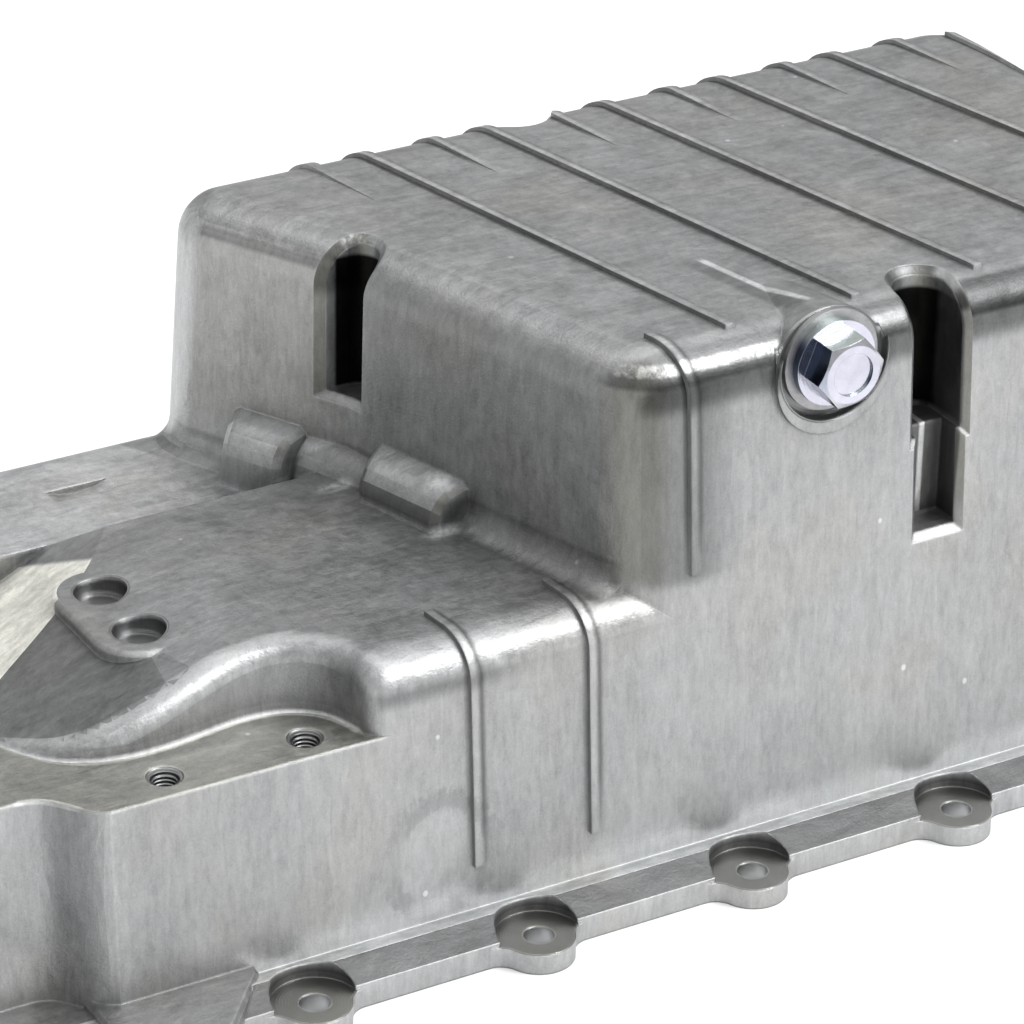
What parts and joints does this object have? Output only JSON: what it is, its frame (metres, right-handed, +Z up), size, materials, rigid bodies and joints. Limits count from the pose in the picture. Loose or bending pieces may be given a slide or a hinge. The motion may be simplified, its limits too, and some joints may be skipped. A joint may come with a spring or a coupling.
{
  "type": "engine oil pan",
  "caption": "Cast aluminium engine oil pan with a deep ribbed sump at one end, a shallow deck at the other, a bolt flange all round and a hexagon drain plug.",
  "frame": {"origin": "centre of the bolt pattern on the sealing face", "axes": "+Z up from the sealing face to the sump floor, +X along the engine from the shallow end to the sump, -Y towards the drain plug's side"},
  "size_m": [0.5194, 0.243, 0.1679],
  "materials": {
    "cast_aluminium": "sand-cast, lightly blasted, mottled grey",
    "zinc_steel": "bright zinc plate",
    "gasket_metal": "soft metal sealing washer, dull"
  },
  "bodies": {
    "pan": {"oil_pan": "cast_aluminium"},
    "washer": {"drain_plug_gasket": "gasket_metal"},
    "plug": {"drain_plug": "zinc_steel"}
  },
  "joints": [
    {"name": "plug_travel", "type": "slide", "parent": "pan", "child": "washer", "axis": [0, -1, 0], "range_m": [0, 0.0136]},
    {"name": "plug_turn", "type": "hinge", "parent": "washer", "child": "plug", "pos_m": [0.0702, -0.0885, 0.1524], "axis": [0, -1, 0], "range_deg": [0, 3240]}
  ],
  "couplings": [
    {"joint": "plug_travel", "follows": "plug_turn", "m_per_rad": 0.00023873}
  ]
}
